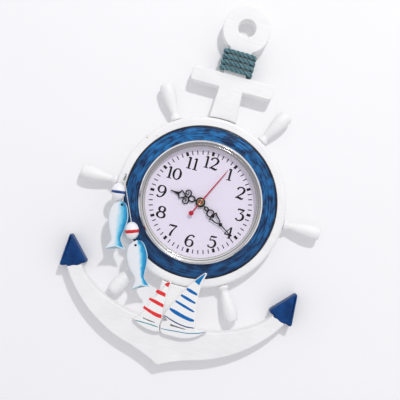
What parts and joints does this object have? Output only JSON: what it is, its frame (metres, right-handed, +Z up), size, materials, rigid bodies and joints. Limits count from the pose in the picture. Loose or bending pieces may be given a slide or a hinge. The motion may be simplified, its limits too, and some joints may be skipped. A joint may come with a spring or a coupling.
{
  "type": "marine_wall_clock",
  "caption": "Wall clock with a ship's wheel and quartz clock insert on a painted wooden anchor, rope at the neck, two boats and two hanging fish",
  "frame": {"origin": "hang_point: the top of the keyhole slot in the plane of the wall", "axes": "+Z up, +X to the right seen from the front, +Y into the wall; the front faces -Y"},
  "size_m": [0.2202, 0.0291, 0.3284],
  "materials": {
    "white_paint": "white emulsion on sanded wood, slightly rubbed",
    "navy_paint": "navy gloss paint on wood",
    "blue_paint": "brushed blue gloss paint",
    "bare_wood": "bare beech",
    "rope": "three-strand cotton rope, dyed",
    "steel": "zinc-plated steel",
    "silver": "pressed metal, silver lacquer",
    "brass": "bright brass",
    "black_plastic": "moulded black plastic",
    "white_plastic": "moulded white plastic",
    "rubber": "black rubber",
    "dial_card": "matt printed card",
    "glass": "clear flat lens",
    "black_lacquer": "black lacquer on sheet metal",
    "red_lacquer": "red lacquer on sheet metal",
    "copper": "enamelled copper wire",
    "board": "green circuit board",
    "twine": "cotton twine",
    "fish_paint": "hand-painted white and sky blue"
  },
  "bodies": {
    "clock_body": {"anchor_shank_board": "white_paint", "anchor_arm_board": "white_paint", "fluke_left": "navy_paint", "fluke_right": "navy_paint", "wheel_ring": "white_paint", "wheel_band": "blue_paint", "handle_1": "white_paint", "handle_2": "white_paint", "handle_3": "white_paint", "handle_4": "white_paint", "handle_5": "white_paint", "handle_6": "white_paint", "dowel_1": "bare_wood", "dowel_2": "bare_wood", "dowel_3": "bare_wood", "dowel_4": "bare_wood", "rope_winding": "rope", "keyhole_plate": "steel", "plate_screw_1": "steel", "plate_screw_2": "steel", "insert_cup": "black_plastic", "cup_gasket": "rubber", "bezel": "silver", "lens": "glass", "spacer_ring": "white_plastic", "dial_plate": "dial_card", "dial_nut": "brass", "movement_case": "black_plastic", "movement_cover": "black_plastic", "battery": "steel", "contact_minus": "brass", "contact_plus": "brass", "circuit_board": "board", "drive_coil": "copper", "stator": "steel", "screw_eye": "brass", "boat_1": "white_paint", "boat_2": "white_paint"},
    "minute": {"minute_hand": "black_lacquer", "hand_nut": "brass", "cannon_pinion": "brass"},
    "hour": {"hour_hand": "black_lacquer", "hour_wheel": "white_plastic"},
    "motion_wheel": {"minute_wheel": "white_plastic"},
    "setting": {"set_knob": "white_plastic"},
    "second": {"second_hand": "red_lacquer", "second_wheel": "white_plastic"},
    "third": {"third_wheel": "white_plastic"},
    "centre": {"centre_wheel": "white_plastic"},
    "intermediate": {"intermediate_wheel": "white_plastic"},
    "motor": {"rotor": "steel"},
    "pendant_1": {"string_1": "twine", "float_1": "white_paint", "fish_1": "fish_paint"},
    "pendant_2": {"string_2": "twine", "float_2": "white_paint", "fish_2": "fish_paint"}
  },
  "joints": [
    {"name": "minute_turn", "type": "hinge", "parent": "clock_body", "child": "minute", "pos_m": [0, -0.012, -0.1], "axis": [0, 1, 0], "continuous": true},
    {"name": "hour_turn", "type": "hinge", "parent": "clock_body", "child": "hour", "pos_m": [0, -0.011, -0.1], "axis": [0, 1, 0], "continuous": true},
    {"name": "minute_wheel_turn", "type": "hinge", "parent": "clock_body", "child": "motion_wheel", "pos_m": [0.00509, -0.0075, -0.09491], "axis": [0, 1, 0], "continuous": true},
    {"name": "set_knob_turn", "type": "hinge", "parent": "clock_body", "child": "setting", "pos_m": [0.01018, -0.004, -0.08982], "axis": [0, 1, 0], "continuous": true},
    {"name": "second_turn", "type": "hinge", "parent": "clock_body", "child": "second", "pos_m": [0, -0.01, -0.1], "axis": [0, 1, 0], "continuous": true},
    {"name": "third_turn", "type": "hinge", "parent": "clock_body", "child": "third", "pos_m": [-0.00649, -0.006, -0.09351], "axis": [0, 1, 0], "continuous": true},
    {"name": "centre_turn", "type": "hinge", "parent": "clock_body", "child": "centre", "pos_m": [0, -0.006, -0.1], "axis": [0, 1, 0], "continuous": true},
    {"name": "intermediate_turn", "type": "hinge", "parent": "clock_body", "child": "intermediate", "pos_m": [-0.00668, -0.006, -0.10668], "axis": [0, 1, 0], "continuous": true},
    {"name": "rotor_turn", "type": "hinge", "parent": "clock_body", "child": "motor", "pos_m": [-0.01126, -0.006, -0.11126], "axis": [0, 1, 0], "continuous": true},
    {"name": "pendant_1_swing", "type": "hinge", "parent": "clock_body", "child": "pendant_1", "pos_m": [-0.0694, -0.0229, -0.0982], "axis": [0, 1, 0], "range_deg": [0, 60]},
    {"name": "pendant_2_swing", "type": "hinge", "parent": "clock_body", "child": "pendant_2", "pos_m": [-0.0694, -0.0217, -0.0982], "axis": [0, 1, 0], "range_deg": [-5, 0]}
  ],
  "couplings": [
    {"joint": "hour_turn", "follows": "minute_turn", "ratio": 0.083333},
    {"joint": "minute_wheel_turn", "follows": "minute_turn", "ratio": -0.33333},
    {"joint": "set_knob_turn", "follows": "minute_turn", "ratio": 1},
    {"joint": "third_turn", "follows": "second_turn", "ratio": -0.13333},
    {"joint": "centre_turn", "follows": "second_turn", "ratio": 0.016667},
    {"joint": "intermediate_turn", "follows": "second_turn", "ratio": -6},
    {"joint": "rotor_turn", "follows": "second_turn", "ratio": 30}
  ]
}
